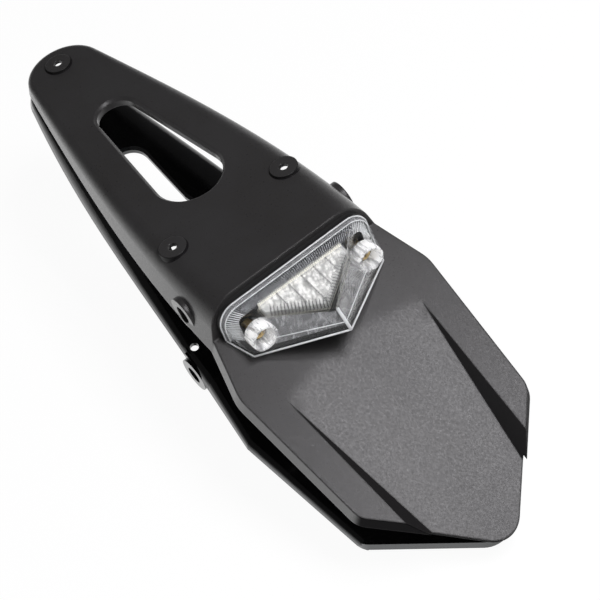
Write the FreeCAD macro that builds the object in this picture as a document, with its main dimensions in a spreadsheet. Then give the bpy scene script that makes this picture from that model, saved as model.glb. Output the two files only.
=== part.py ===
import FreeCAD, Part
import math
import os

Vector = FreeCAD.Vector
doc = FreeCAD.newDocument("TailCarrier")
sheet = doc.addObject("Spreadsheet::Sheet", "Sizes")

# Driving sizes in millimetres and degrees. X runs rearward, Y to the right, Z up.
# The origin lies midway between the rear bosses on the top of the upper tongue.
sizes = {
    # upper tongue
    "wallThick": 2.5,
    "tongueTipX": -186,
    "tongueTipEdge": 24.5,
    "tongueTipRoll": 4,
    "tongueTipDepth": 8,
    "tongueMidX": -94,
    "tongueMidEdge": 40.6,
    "tongueMidRoll": 9,
    "tongueMidDepth": 16,
    "tongueBossEdge": 50.4,
    "tongueBossRoll": 14,
    "tongueBossDepth": 26,
    "tongueEndX": 54,
    "tongueEndEdge": 51.5,
    "tongueEndRoll": 20,
    "tongueEndDepth": 32,
    "wallDraft": 15,
    "tongueTurn": 9,
    # bosses and slot of the upper tongue
    "bossSpacing": 80,
    "frontBossX": -194,
    "bossOuter": 17,
    "bossRise": 1.5,
    "bossWall": 2.5,
    "bossRecess": 12,
    "bossHole": 5.3,
    "slotFrontX": -124,
    "slotFrontRadius": 12.9,
    "slotRearX": -43.8,
    "slotRearRadius": 20.9,
    "slotLip": 6,
    "slotBevel": 1.8,
    # side pads for the indicator stems
    "padX": 24.5,
    "padDrop": 22.5,
    "padFace": 58.3,
    "padOuter": 21,
    "padHole": 11,
    "padLength": 7,
    # flap of the upper shell, measured along its slope
    "flapAngle": 23.6,
    "flapDrop": 23.6,
    "flapFrontHalf": 56.9,
    "flapWideRun": 36,
    "flapWideHalf": 67.5,
    "flapCornerRun": 129,
    "flapCornerHalf": 60,
    "flapTipRun": 191,
    "wideRadius": 25,
    "cornerRadius": 13,
    "tipRadius": 15,
    "rimDepth": 9,
    "rimFlare": 2,
    # sunk panel of the flap
    "creaseRun": 54,
    "creaseHalf": 47.5,
    "creaseEndRun": 145,
    "creaseEndHalf": 42.4,
    "panelEndRun": 156.6,
    "panelEndHalf": 32.6,
    "panelEndDepth": 10.7,
    "panelApexRun": 42,
    # lower tongue and flap
    "lowTipX": -212,
    "lowTipZ": -34,
    "lowAngle": 16.5,
    "lowTurn": 9.5,
    "lowTipEdge": 20.5,
    "lowTipRoll": 5,
    "lowTipDepth": 8,
    "lowMidX": -125,
    "lowMidEdge": 37.9,
    "lowMidRoll": 10.5,
    "lowMidDepth": 11,
    "lowBossX": -16,
    "lowBossEdge": 53.7,
    "lowBossRoll": 4,
    "lowBossDepth": 6,
    "lowBendX": 8,
    "lowBendEdge": 56.4,
    "lowBendRoll": 5,
    "lowBendDepth": 7,
    "lowFlapSlope": 6.7,
    "lowWideX": 58,
    "lowWideEdge": 65.2,
    "lowFlapRoll": 4,
    "lowFlapDepth": 5,
    "lowCornerX": 156,
    "lowCornerEdge": 58.4,
    "lowRearX": 211,
    "lowSlotFrontX": -140.5,
    "lowSlotFrontRadius": 12,
    "lowSlotNeckX": -100,
    "lowSlotNeckRadius": 11.7,
    "lowSlotRearX": -68,
    "lowSlotRearRadius": 19,
    "lowSlotLip": 5,
    "lowHoleHalf": 48.4,
    "lowRingOuter": 10,
    "lowRingDrop": 0.4,
    "lowRingLength": 2.6,
    "lowSideX": -11.3,
    "lowSideDrop": 13.2,
    "lowSideFace": 57.3,
    "lowSideOuter": 22,
    "lowSideLength": 5,
    "lowSideHole": 11,
    "lugHalf": 6,
    "lugStepBack": 2,
    # lamp
    "gasketThick": 1.5,
    "gap": 0.3,
    "lensTopZ": -3.5,
    "lensHalf": 52,
    "lensCorner": 12,
    "lensEndTaper": 14,
    "lensRoofAngle": 10,
    "lensWall": 2,
    "lensCornerX": 75.7,
    "lensCornerHalf": 46,
    "lensCornerZ": -29.7,
    "lensTipX": 108.5,
    "lensTipZ": -22.8,
    "lensShoulderHalf": 47,
    "lensShoulderZ": -4.8,
    "towerHalf": 37.3,
    "towerZ": -18.8,
    "towerOuter": 17,
    "towerBore": 12.5,
    "towerEndX": 80,
    "towerFloorX": 71,
    "towerFloor": 10,
    "baseWall": 2.2,
    "boardHalf": 29,
    "boardTopDrop": 8.5,
    "boardThick": 1.6,
    "boardFrontX": 65.5,
    "boardSideRun": 7,
    "boardTipRun": 27,
    "boardPost": 5,
    "boardPostHalf": 14,
    "boardPostRun": 8,
    "reflectorHeight": 4.2,
    "cellCount": 6,
    "cellPitch": 8.6,
    "cellWidth": 7.2,
    "cellEdge": 2,
    "ledSide": 4.4,
    "ledHeight": 1.6,
    "ledRun": 4.4,
    # fasteners and grommet
    "threadGap": 0.1,
    "lampScrew": 4,
    "lampScrewHead": 7.4,
    "lampScrewHeadHigh": 2.8,
    "nutAcross": 7,
    "nutHigh": 3.2,
    "jointX": 180,
    "jointHalf": 17,
    "postOuter": 9,
    "postPilot": 8,
    "jointScrew": 4,
    "jointHead": 7.6,
    "jointHeadHigh": 2.6,
    "jointScrewLength": 9,
    "washerOuter": 10,
    "washerThick": 1,
    "grommetZ": -15,
    "grommetHole": 8,
    "grommetOuter": 13,
    "grommetBore": 4.5,
    "grommetLip": 1.6,
}
for row, (name, value) in enumerate(sizes.items(), 1):
    sheet.set("A%d" % row, name)
    sheet.set("B%d" % row, str(value))
    sheet.setAlias("B%d" % row, name)
doc.recompute()


def size(name):
    return float(sheet.get(name))


def turned(angle):
    # along, up: directions of a slope that falls rearward by the angle
    turn = math.radians(angle)
    along = Vector(math.cos(turn), 0, -math.sin(turn))
    up = Vector(math.sin(turn), 0, math.cos(turn))
    return along, up


def hookPoints(at, edge, roll, depth, inset):
    # corner points of a rolled edge with a drafted wall, moved inward by an inset
    # they are the roll's start, middle and end and the wall's foot
    draft = math.radians(size("wallDraft"))
    centre = edge - roll / math.cos(draft) + roll * math.tan(draft)
    wallTurn = math.pi / 2 - draft
    drop = depth - roll + roll * math.cos(wallTurn)

    def rollPoint(turn):
        return centre + (roll - inset) * math.sin(turn), -roll + (roll - inset) * math.cos(turn)

    end = rollPoint(wallTurn)
    foot = (end[0] + math.tan(draft) * drop, end[1] - drop)
    return [at(*point) for point in (rollPoint(0), rollPoint(wallTurn / 2), end, foot)]


def hookProfile(origin, out, up, edge, roll, depth):
    # half section of a shell: flat top, rolled edge, drafted wall, even thickness
    def at(reach, height):
        return origin + out * reach + up * height

    thick = size("wallThick")
    start, middle, end, foot = hookPoints(at, edge, roll, depth, 0)
    inStart, inMiddle, inEnd, inFoot = hookPoints(at, edge, roll, depth, thick)
    return Part.Wire([
        Part.makeLine(at(0, 0), start),
        Part.Arc(start, middle, end).toShape(),
        Part.makeLine(end, foot),
        Part.makeLine(foot, inFoot),
        Part.makeLine(inFoot, inEnd),
        Part.Arc(inEnd, inMiddle, inStart).toShape(),
        Part.makeLine(inStart, at(0, -thick)),
        Part.makeLine(at(0, -thick), at(0, 0)),
    ])


def hookOutline(origin, edge, roll, depth):
    # whole outer section of a shell, closed across its foot
    def right(reach, height):
        return origin + Vector(0, reach, height)

    def left(reach, height):
        return origin + Vector(0, -reach, height)

    start, middle, end, foot = hookPoints(right, edge, roll, depth, 0)
    startLeft, middleLeft, endLeft, footLeft = hookPoints(left, edge, roll, depth, 0)
    return Part.Wire([
        Part.makeLine(startLeft, start),
        Part.Arc(start, middle, end).toShape(),
        Part.makeLine(end, foot),
        Part.makeLine(foot, footLeft),
        Part.makeLine(footLeft, endLeft),
        Part.Arc(endLeft, middleLeft, startLeft).toShape(),
    ])


def mirrored(shape):
    return shape.mirror(Vector(0, 0, 0), Vector(0, 1, 0))


def hookShell(smoothStations, straightStations, tipUp, tipTurn):
    # stations: (origin, up, edge, roll, depth) from the round tip rearward
    # the left half is lofted, smooth first and straight behind, and the right half mirrors it
    tip, up, edge, roll, depth = smoothStations[0]
    along = Vector(0, 1, 0).cross(tipUp)
    yaw = math.radians(tipTurn)
    tipOut = along * -math.sin(yaw) + Vector(0, -math.cos(yaw), 0)
    tipWire = hookProfile(tip, tipOut, tipUp, edge, roll, depth)
    smooth = [tipWire]
    for origin, up, edge, roll, depth in smoothStations[1:]:
        smooth.append(hookProfile(origin, Vector(0, -1, 0), up, edge, roll, depth))
    lefts = [Part.makeLoft(smooth, True, False)]
    straight = [smooth[-1]]
    for origin, up, edge, roll, depth in straightStations:
        straight.append(hookProfile(origin, Vector(0, -1, 0), up, edge, roll, depth))
    if straightStations:
        lefts.append(Part.makeLoft(straight, True, True))
    fan = Part.Face(tipWire).revolve(tip, tipUp, -(180 - 2 * tipTurn))
    return fused([fan] + lefts + [mirrored(left) for left in lefts])


def roundedWire(points, radii, lift):
    # closed outline of straight sides with rounded corners, in the XY plane at a height
    count = len(points)
    starts, ends, mids = [], [], []
    for index in range(count):
        here = Vector(points[index][0], points[index][1], lift)
        before = Vector(points[index - 1][0], points[index - 1][1], lift)
        after = Vector(points[(index + 1) % count][0], points[(index + 1) % count][1], lift)
        toBefore = (before - here).normalize()
        toAfter = (after - here).normalize()
        half = toBefore.getAngle(toAfter) / 2
        if radii[index] <= 0:
            starts.append(here)
            ends.append(here)
            mids.append(None)
            continue
        reach = radii[index] / math.tan(half)
        inward = (toBefore + toAfter).normalize()
        centre = here + inward * (radii[index] / math.sin(half))
        starts.append(here + toBefore * reach)
        ends.append(here + toAfter * reach)
        mids.append(centre - inward * radii[index])
    edges = []
    for index in range(count):
        if mids[index] is not None:
            edges.append(Part.Arc(starts[index], mids[index], ends[index]).toShape())
        following = (index + 1) % count
        edges.append(Part.makeLine(ends[index], starts[following]))
    return Part.Wire(edges)


def grown(points, by):
    # corner points of a convex outline moved outward so that each side moves by the given width
    count = len(points)
    result = []
    area = sum(points[i - 1][0] * points[i][1] - points[i][0] * points[i - 1][1] for i in range(count))
    sense = 1 if area > 0 else -1
    for index in range(count):
        here = Vector(points[index][0], points[index][1], 0)
        before = Vector(points[index - 1][0], points[index - 1][1], 0)
        after = Vector(points[(index + 1) % count][0], points[(index + 1) % count][1], 0)
        first = (here - before).normalize()
        second = (after - here).normalize()
        firstOut = Vector(first.y, -first.x, 0) * sense
        secondOut = Vector(second.y, -second.x, 0) * sense
        middle = (firstOut + secondOut).normalize()
        moved = here + middle * (by / middle.dot(firstOut))
        result.append((moved.x, moved.y))
    return result


def outlineSolid(points, radii, low, high, lowGrow=0, highGrow=0):
    def wire(grow, lift):
        rounded = [radius + grow if radius > 0 else 0 for radius in radii]
        return roundedWire(grown(points, grow), rounded, lift)
    return Part.makeLoft([wire(lowGrow, low), wire(highGrow, high)], True, True)


def slotSolid(frontX, frontRadius, rearX, rearRadius, low, high, lowGrow=0, highGrow=0):
    # long hole with round ends of two radii and tangent sides
    def wire(grow, lift):
        small, large = frontRadius + grow, rearRadius + grow
        turn = math.acos((frontRadius - rearRadius) / (rearX - frontX))
        side = math.sin(turn)
        back = math.cos(turn)
        frontUp = Vector(frontX + small * back, small * side, lift)
        frontDown = Vector(frontUp.x, -frontUp.y, lift)
        rearUp = Vector(rearX + large * back, large * side, lift)
        rearDown = Vector(rearUp.x, -rearUp.y, lift)
        return Part.Wire([
            Part.Arc(frontUp, Vector(frontX - small, 0, lift), frontDown).toShape(),
            Part.makeLine(frontDown, rearDown),
            Part.Arc(rearDown, Vector(rearX + large, 0, lift), rearUp).toShape(),
            Part.makeLine(rearUp, frontUp),
        ])
    return Part.makeLoft([wire(lowGrow, low), wire(highGrow, high)], True, True)


def disc(diameter, start, direction, length):
    return Part.makeCylinder(diameter / 2, length, start, direction)


def prism(points, push):
    # solid between a flat polygon and its copy pushed along a vector
    return Part.Face(Part.makePolygon(points + [points[0]])).extrude(push)


def placed(shape, origin, angle):
    # turns a shape drawn with its slope along X to fall rearward by the angle, then moves it
    shape = shape.copy()
    shape.rotate(Vector(0, 0, 0), Vector(0, 1, 0), angle)
    shape.translate(origin)
    return shape


def fused(shapes):
    return shapes[0].multiFuse(shapes[1:]).removeSplitter()


thick = size("wallThick")
level = Vector(0, 0, 1)
far = 400

# Upper tongue
def sectionSizes(name):
    return size(name + "Edge"), size(name + "Roll"), size(name + "Depth")


upperStations = [
    (Vector(size("tongueTipX"), 0, 0), level, *sectionSizes("tongueTip")),
    (Vector(size("tongueMidX"), 0, 0), level, *sectionSizes("tongueMid")),
    (Vector(0, 0, 0), level, *sectionSizes("tongueBoss")),
    (Vector(size("tongueEndX"), 0, 0), level, *sectionSizes("tongueEnd")),
]
tongue = hookShell(upperStations, [], level, size("tongueTurn"))

# Upper flap, drawn flat with its slope along X and then turned
flapOrigin = Vector(size("tongueEndX"), 0, -size("flapDrop"))
flapAngle = size("flapAngle")
flapStart = -thick
outline = [
    (flapStart, -size("flapFrontHalf")),
    (flapStart, size("flapFrontHalf")),
    (size("flapWideRun"), size("flapWideHalf")),
    (size("flapCornerRun"), size("flapCornerHalf")),
    (size("flapTipRun"), 0),
    (size("flapCornerRun"), -size("flapCornerHalf")),
    (size("flapWideRun"), -size("flapWideHalf")),
]
outlineRadii = [0, 0, size("wideRadius"), size("cornerRadius"), size("tipRadius"), size("cornerRadius"),
                size("wideRadius")]
panelApex = Vector(size("panelApexRun"), 0, 0)
creaseTip = Vector(size("creaseRun"), size("creaseHalf"), 0)
creaseEnd = Vector(size("creaseEndRun"), size("creaseEndHalf"), 0)
panelEnd = Vector(size("panelEndRun"), size("panelEndHalf"), -size("panelEndDepth"))


def longer(start, end, factor):
    return start + (end - start) * factor


reach = 1.6
creaseFar = longer(creaseTip, creaseEnd, reach)
panelFar = longer(creaseTip, panelEnd, reach)
panelNormal = (creaseTip - panelApex).cross(panelEnd - panelApex)


def panelHeight(run, side):
    return -(panelNormal.x * (run - panelApex.x) + panelNormal.y * side) / panelNormal.z


axisFarRun = panelFar.x
axisFar = Vector(axisFarRun, 0, panelHeight(axisFarRun, 0))
wideSide = 2 * size("flapWideHalf")
wing = [
    Vector(-wideSide, 0, 0), panelApex, creaseTip, creaseFar,
    Vector(creaseFar.x, wideSide, 0), Vector(-wideSide, wideSide, 0),
]
creaseWall = [creaseTip, panelFar, creaseFar]
panel = [panelApex, axisFar, panelFar, creaseTip]


def sheetSolid(push):
    halves = [prism(facet, push) for facet in (wing, creaseWall, panel)]
    return fused(halves + [mirrored(half) for half in halves])


flapSheet = sheetSolid(Vector(0, 0, -thick))
aboveSheet = sheetSolid(Vector(0, 0, far))
plate = flapSheet.common(outlineSolid(outline, outlineRadii, -far, far))
rimOut = outlineSolid(outline, outlineRadii, -size("rimDepth"), 0, size("rimFlare"), 0)
rimIn = outlineSolid(outline, outlineRadii, -size("rimDepth"), 0, size("rimFlare") - thick, -thick)
frontCut = Part.makeBox(2 * thick, 2 * (size("flapFrontHalf") - 2 * thick), far,
                        Vector(flapStart - thick, 2 * thick - size("flapFrontHalf"), -far / 2))
rim = rimOut.cut(rimIn).cut(frontCut).cut(aboveSheet)

# Step between tongue and flap: the tongue's end is closed down to the flap
riser = Part.Face(hookOutline(Vector(size("tongueEndX"), 0, 0), size("tongueEndEdge"), size("tongueEndRoll"),
                              size("flapDrop") + thick / 2)).extrude(Vector(-thick, 0, 0))

# Lower shell: sloped tongue, bend and nearly level flap
lowUp = turned(size("lowAngle"))[1]
lowTip = Vector(size("lowTipX"), 0, size("lowTipZ"))
lowSlope = math.tan(math.radians(size("lowAngle")))
lowFlapUp = turned(size("lowFlapSlope"))[1]
lowFlapFall = math.tan(math.radians(size("lowFlapSlope")))


def lowCrown(x):
    # point on the top of the lower shell above its middle line
    bend = size("lowBendX")
    height = size("lowTipZ") - lowSlope * (min(x, bend) - size("lowTipX"))
    if x > bend:
        height -= lowFlapFall * (x - bend)
    return Vector(x, 0, height)


bendUp = (lowUp + lowFlapUp).normalize()
wideX, cornerX, rearX = size("lowWideX"), size("lowCornerX"), size("lowRearX")
narrowing = (size("lowCornerEdge") - size("lowWideEdge")) / (cornerX - wideX)
rearEdge = size("lowCornerEdge") + narrowing * (rearX - cornerX)
flapRoll, flapDepth = size("lowFlapRoll"), size("lowFlapDepth")
lowTongue = [
    (lowTip, lowUp, *sectionSizes("lowTip")),
    (lowCrown(size("lowMidX")), lowUp, *sectionSizes("lowMid")),
    (lowCrown(size("lowBossX")), lowUp, *sectionSizes("lowBoss")),
    (lowCrown(size("lowBendX")), bendUp, *sectionSizes("lowBend")),
]
lowFlap = [
    (lowCrown(wideX), lowFlapUp, size("lowWideEdge"), flapRoll, flapDepth),
    (lowCrown(cornerX), lowFlapUp, size("lowCornerEdge"), flapRoll, flapDepth),
    (lowCrown(rearX), lowFlapUp, rearEdge, flapRoll, flapDepth),
]
lowBody = hookShell(lowTongue, lowFlap, lowUp, size("lowTurn"))
flare = math.tan(math.radians(size("wallDraft"))) * flapDepth
wideHalf = size("lowWideEdge") + flare
cornerHalf = size("lowCornerEdge") + flare
lowRear = [(wideX, wideHalf), (cornerX, cornerHalf), (rearX, 0), (cornerX, -cornerHalf), (wideX, -wideHalf)]
rearRadii = [0, size("cornerRadius"), size("tipRadius"), size("cornerRadius"), 0]
rearArea = outlineSolid(lowRear, rearRadii, -far, far)
rearInside = outlineSolid(lowRear, rearRadii, -far, far, -thick, -thick)
frontArea = Part.makeBox(far, 2 * far, 2 * far, Vector(wideX - far, -far, -far))
lowBody = lowBody.common(frontArea.fuse(rearArea))
lipSlab = placed(Part.makeBox(far, far, flapDepth, Vector(0, -far / 2, -flapDepth)), lowCrown(cornerX),
                 size("lowFlapSlope"))
rearLip = rearArea.cut(rearInside).common(lipSlab)

# Holes, slots and bosses of the upper shell
bossHalf = size("bossSpacing") / 2
bossPlaces = [Vector(size("frontBossX"), 0, 0), Vector(0, bossHalf, 0), Vector(0, -bossHalf, 0)]
upperSlot = [size("slotFrontX"), size("slotFrontRadius"), size("slotRearX"), size("slotRearRadius")]
upperAdds = [tongue, riser, placed(plate, flapOrigin, flapAngle), placed(rim, flapOrigin, flapAngle)]
upperAdds.append(slotSolid(*upperSlot, -size("slotLip"), -thick / 2, thick, thick))
upperCuts = [slotSolid(*upperSlot, -far, far)]
upperCuts.append(slotSolid(*upperSlot, -size("slotBevel"), size("slotBevel"), 0, 2 * size("slotBevel")))
for place in bossPlaces:
    upperAdds.append(disc(size("bossOuter"), place - level * thick, level, thick + size("bossRise")))
    recessTop = size("bossRise") - size("bossWall")
    upperCuts.append(disc(size("bossRecess"), place + level * recessTop, level * -1, thick + recessTop + 1))
    upperCuts.append(disc(size("bossHole"), place - level * far, level, 2 * far))
for side in (-1, 1):
    outward = Vector(0, side, 0)
    padCentre = Vector(size("padX"), 0, -size("padDrop")) + outward * size("padFace")
    padBack = outward * size("padLength")
    upperAdds.append(disc(size("padOuter"), padCentre - padBack, outward, size("padLength")))
    upperCuts.append(disc(size("padHole"), padCentre - padBack * 3, outward, 4 * size("padLength")))

# Posts that join the shells near the rear tip stand square on the lower flap
jointFoot = {side: lowCrown(size("jointX")) + Vector(0, side * size("jointHalf"), 0) for side in (-1, 1)}
panelMiddle = placed(aboveSheet, flapOrigin - turned(flapAngle)[1] * (thick / 2), flapAngle)
screwHole = size("jointScrew") + 2 * size("threadGap")
for side in (-1, 1):
    post = disc(size("postOuter"), jointFoot[side], lowFlapUp, far / 2)
    upperAdds.append(post.cut(panelMiddle))
    upperCuts.append(disc(screwHole, jointFoot[side] - lowFlapUp, lowFlapUp, size("postPilot") + 1))

# Passages of the lamp through the step
lampHole = size("lampScrew") + size("gap")
stepFace = size("tongueEndX")
rearward = Vector(1, 0, 0)
towerSeat = {side: Vector(stepFace, side * size("towerHalf"), size("towerZ")) for side in (-1, 1)}
grommetSeat = Vector(stepFace, 0, size("grommetZ"))
upperCuts.append(disc(size("grommetHole"), grommetSeat - rearward * 2 * thick, rearward, 4 * thick))
for side in (-1, 1):
    upperCuts.append(disc(lampHole, towerSeat[side] - rearward * 2 * thick, rearward, 4 * thick))
upperShape = fused(upperAdds)
upperShape = upperShape.cut(Part.Compound(upperCuts)).removeSplitter()

# Holes, slot and bosses of the lower shell
slopeScale = 1 / math.cos(math.radians(size("lowAngle")))


def lowRun(x):
    return (x - size("lowTipX")) * slopeScale


def lowSlotEnd(name):
    return lowRun(size(name + "X")), size(name + "Radius")


lowAngle = size("lowAngle")
lowAdds = [lowBody, rearLip]
lowCuts = []
for front, rear in (("lowSlotFront", "lowSlotNeck"), ("lowSlotNeck", "lowSlotRear")):
    span = [*lowSlotEnd(front), *lowSlotEnd(rear)]
    bevel = size("slotBevel")
    lowAdds.append(placed(slotSolid(*span, -size("lowSlotLip"), -thick / 2, thick, thick), lowTip, lowAngle))
    lowCuts.append(placed(slotSolid(*span, -far / 4, far / 4), lowTip, lowAngle))
    lowCuts.append(placed(slotSolid(*span, -bevel, bevel, 0, 2 * bevel), lowTip, lowAngle))
for side in (-1, 1):
    outward = Vector(0, side, 0)
    ringTop = lowCrown(size("lowBossX")) + outward * size("lowHoleHalf") - lowUp * size("lowRingDrop")
    lowAdds.append(disc(size("lowRingOuter"), ringTop, lowUp * -1, size("lowRingLength")))
    lowCuts.append(disc(size("bossHole"), ringTop + lowUp * thick, lowUp * -1, 4 * size("lowRingLength")))
    sideLength = size("lowSideLength")
    sideCentre = lowCrown(size("lowSideX")) - level * size("lowSideDrop") + outward * size("lowSideFace")
    lowAdds.append(disc(size("lowSideOuter"), sideCentre - outward * sideLength, outward, sideLength))
    lugLow = Vector(-size("lugHalf"), size("lowSideFace") - sideLength, -size("lowSideDrop") - thick / 2)
    lug = Part.makeBox(2 * size("lugHalf"), sideLength - size("lugStepBack"), size("lowSideDrop"), lugLow)
    lug = placed(lug, lowCrown(size("lowSideX")), lowAngle)
    lowAdds.append(lug if side > 0 else mirrored(lug))
    lowCuts.append(disc(size("lowSideHole"), sideCentre - outward * 3 * sideLength, outward, 4 * sideLength))
    lowCuts.append(disc(screwHole, jointFoot[side] - lowFlapUp * 2 * thick, lowFlapUp, 4 * thick))
lowerShape = fused(lowAdds)
lowerShape = lowerShape.cut(Part.Compound(lowCuts)).removeSplitter()


# Lamp
def aboveCut(shape, point, normal):
    # removes what lies on the side of a plane that its normal points to
    block = Part.makeBox(far, far, far, Vector(-far / 2, -far / 2, 0))
    block.Placement = FreeCAD.Placement(point, FreeCAD.Rotation(Vector(0, 0, 1), normal))
    return shape.cut(block)


gasketX = stepFace + size("gasketThick")
lensX = gasketX + size("baseWall")
roofAlong, roofUp = turned(size("lensRoofAngle"))
lensTip = Vector(size("lensTipX"), 0, size("lensTipZ"))
lensCorner = Vector(size("lensCornerX"), size("lensCornerHalf"), size("lensCornerZ"))
lensShoulder = Vector(lensX, size("lensShoulderHalf"), size("lensShoulderZ"))
visorNormal = (lensCorner - lensTip).cross(lensShoulder - lensTip).normalize()
if visorNormal.x < 0:
    visorNormal = visorNormal * -1
floorAlong = (lensTip - Vector(lensCorner.x, 0, lensCorner.z)).normalize()
floorDown = Vector(0, 1, 0).cross(floorAlong)
if floorDown.z > 0:
    floorDown = floorDown * -1
flapUp = turned(flapAngle)[1]


def lampBlock(startX, inset, floorInset, flapGap):
    # faceted lamp body moved inward from its faces, cut off above the flap
    half = size("lensHalf") - inset
    top = size("lensTopZ") - inset
    corner = max(size("lensCorner") - inset, 1)
    low = top - 2 * size("lensHalf")
    front = roundedWire([(-half, low), (half, low), (half, top), (-half, top)], [0, 0, corner, corner], 0)
    block = Part.Face(front).extrude(Vector(0, 0, far / 2))
    block.Placement = FreeCAD.Placement(Vector(startX, 0, 0), FreeCAD.Rotation(Vector(1, 1, 1), 120))
    taper = math.radians(size("lensEndTaper"))
    for side in (-1, 1):
        endNormal = Vector(math.sin(taper), side * math.cos(taper), 0)
        block = aboveCut(block, Vector(lensX, side * half, 0), endNormal)
    roofPoint = Vector(lensX, 0, size("lensTopZ")) - roofUp * inset
    block = aboveCut(block, roofPoint, roofUp)
    for side in (-1, 1):
        visor = Vector(visorNormal.x, side * visorNormal.y, visorNormal.z)
        block = aboveCut(block, lensTip - visor * inset, visor)
    block = aboveCut(block, lensTip - floorDown * floorInset, floorDown)
    return aboveCut(block, flapOrigin + flapUp * flapGap, flapUp * -1)


gap = size("gap")
lensWall = size("lensWall")
baseWall = size("baseWall")
outer = lampBlock(lensX, 0, 0, gap)
hollow = lampBlock(lensX - 1, lensWall, -far / 8, -far / 8)
lensShape = outer.cut(hollow)
towerStart = size("towerFloorX") - size("towerFloor")
towerLength = size("towerEndX") - towerStart
towers, bores = [], []
for side in (-1, 1):
    seat = Vector(0, side * size("towerHalf"), size("towerZ"))
    towers.append(disc(size("towerOuter"), seat + rearward * towerStart, rearward, towerLength))
    bores.append(disc(size("towerBore"), seat + rearward * size("towerFloorX"), rearward, far / 8))
    bores.append(disc(lampHole, seat + rearward * (towerStart - 1), rearward, far / 8))
lensShape = fused([lensShape] + towers).cut(Part.Compound(bores))
lensShape = aboveCut(lensShape, flapOrigin + flapUp * gap, flapUp * -1)

inside = lensWall + gap
tray = lampBlock(lensX, inside, 0, gap).cut(lampBlock(lensX - 1, lensWall / 2, baseWall, gap + baseWall))
backPlate = lampBlock(gasketX, 0, 0, gap).common(
    Part.makeBox(baseWall, far, far, Vector(gasketX, -far / 2, -far / 2)))
roofFall = math.tan(math.radians(size("lensRoofAngle"))) * (size("boardFrontX") - lensX)
boardTop = Vector(size("boardFrontX"), 0, size("lensTopZ") - roofFall) - roofUp * size("boardTopDrop")
boardUnder = boardTop - roofUp * size("boardThick")
pillars, passages = [], []
for side in (-1, 1):
    seat = Vector(0, side * size("towerHalf"), size("towerZ"))
    pillars.append(disc(size("towerOuter"), seat + rearward * gasketX, rearward, towerStart - gasketX))
    passages.append(disc(lampHole, seat + rearward * (gasketX - 1), rearward, far / 8))
    foot = boardUnder + roofAlong * size("boardPostRun") + Vector(0, side * size("boardPostHalf"), 0)
    post = disc(size("boardPost"), foot, roofUp * -1, far / 8)
    pillars.append(aboveCut(post, lensTip - floorDown * (baseWall / 2), floorDown))
passages.append(disc(size("grommetHole"), grommetSeat, rearward, far / 16))
baseShape = fused([tray, backPlate] + pillars).cut(Part.Compound(passages + towers))
baseShape = aboveCut(baseShape, flapOrigin + flapUp * gap, flapUp * -1)

gasketShape = lampBlock(stepFace, gap, 0, gap).common(
    Part.makeBox(size("gasketThick"), far, far, Vector(stepFace, -far / 2, -far / 2)))
gasketHoles = [disc(size("grommetHole"), grommetSeat - rearward, rearward, far / 16)]
for side in (-1, 1):
    gasketHoles.append(disc(lampHole, towerSeat[side] - rearward, rearward, far / 16))
gasketShape = gasketShape.cut(Part.Compound(gasketHoles))


def boardPrism(start, height, inset):
    half = size("boardHalf") - inset
    points = [
        Vector(inset, -half, start), Vector(inset, half, start),
        Vector(size("boardSideRun") - inset, half, start),
        Vector(size("boardTipRun") - 2 * inset, 0, start),
        Vector(size("boardSideRun") - inset, -half, start),
    ]
    return placed(prism(points, Vector(0, 0, height)), boardTop, size("lensRoofAngle"))


boardShape = boardPrism(-size("boardThick"), size("boardThick"), 0)
cells = []
cellMiddle = (size("cellCount") - 1) / 2
cellPlaces = [(index - cellMiddle) * size("cellPitch") for index in range(int(size("cellCount")))]
cellField = boardPrism(-1, far / 16, size("cellEdge"))
for place in cellPlaces:
    strip = Part.makeBox(far / 8, size("cellWidth"), far / 8, Vector(0, place - size("cellWidth") / 2, -1))
    cells.append(placed(strip, boardTop, size("lensRoofAngle")).common(cellField))
reflectorShape = boardPrism(0, size("reflectorHeight"), 0).cut(Part.Compound(cells))


# Document objects of the moulded pieces
def shaped(label, shape):
    feature = doc.addObject("Part::Feature", label)
    feature.Label = label
    feature.Shape = shape
    return feature


def cylinder(name, diameter, length, start, direction):
    feature = doc.addObject("Part::Cylinder", name)
    feature.setExpression("Radius", "(%s) / 2" % diameter)
    feature.setExpression("Height", length)
    feature.Placement = FreeCAD.Placement(start, FreeCAD.Rotation(Vector(0, 0, 1), direction))
    return feature


def joined(kind, name, members):
    feature = doc.addObject(kind, name)
    if kind == "Part::Cut":
        feature.Base, feature.Tool = members
    elif kind == "Part::Compound":
        feature.Links = members
    else:
        feature.Shapes = members
    return feature


def group(label, members):
    feature = joined("Part::Compound", label, members)
    feature.Label = label
    return feature


nodes = [
    shaped("upper_shell", upperShape),
    shaped("lower_shell", lowerShape),
    shaped("light_lens", lensShape),
    shaped("lamp_base", baseShape),
    shaped("lamp_gasket", gasketShape),
    shaped("led_board", boardShape),
    shaped("led_reflector", reflectorShape),
]

# LEDs, one in each cell
ledTurn = FreeCAD.Rotation(Vector(0, 1, 0), size("lensRoofAngle"))
ledBoxes = []
for index, place in enumerate(cellPlaces):
    box = doc.addObject("Part::Box", "led%d" % (index + 1))
    box.setExpression("Length", "Sizes.ledSide")
    box.setExpression("Width", "Sizes.ledSide")
    box.setExpression("Height", "Sizes.ledHeight")
    corner = boardTop + roofAlong * (size("ledRun") - size("ledSide") / 2)
    box.Placement = FreeCAD.Placement(corner + Vector(0, place - size("ledSide") / 2, 0), ledTurn)
    ledBoxes.append(box)
nodes.append(group("leds", ledBoxes))

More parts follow.
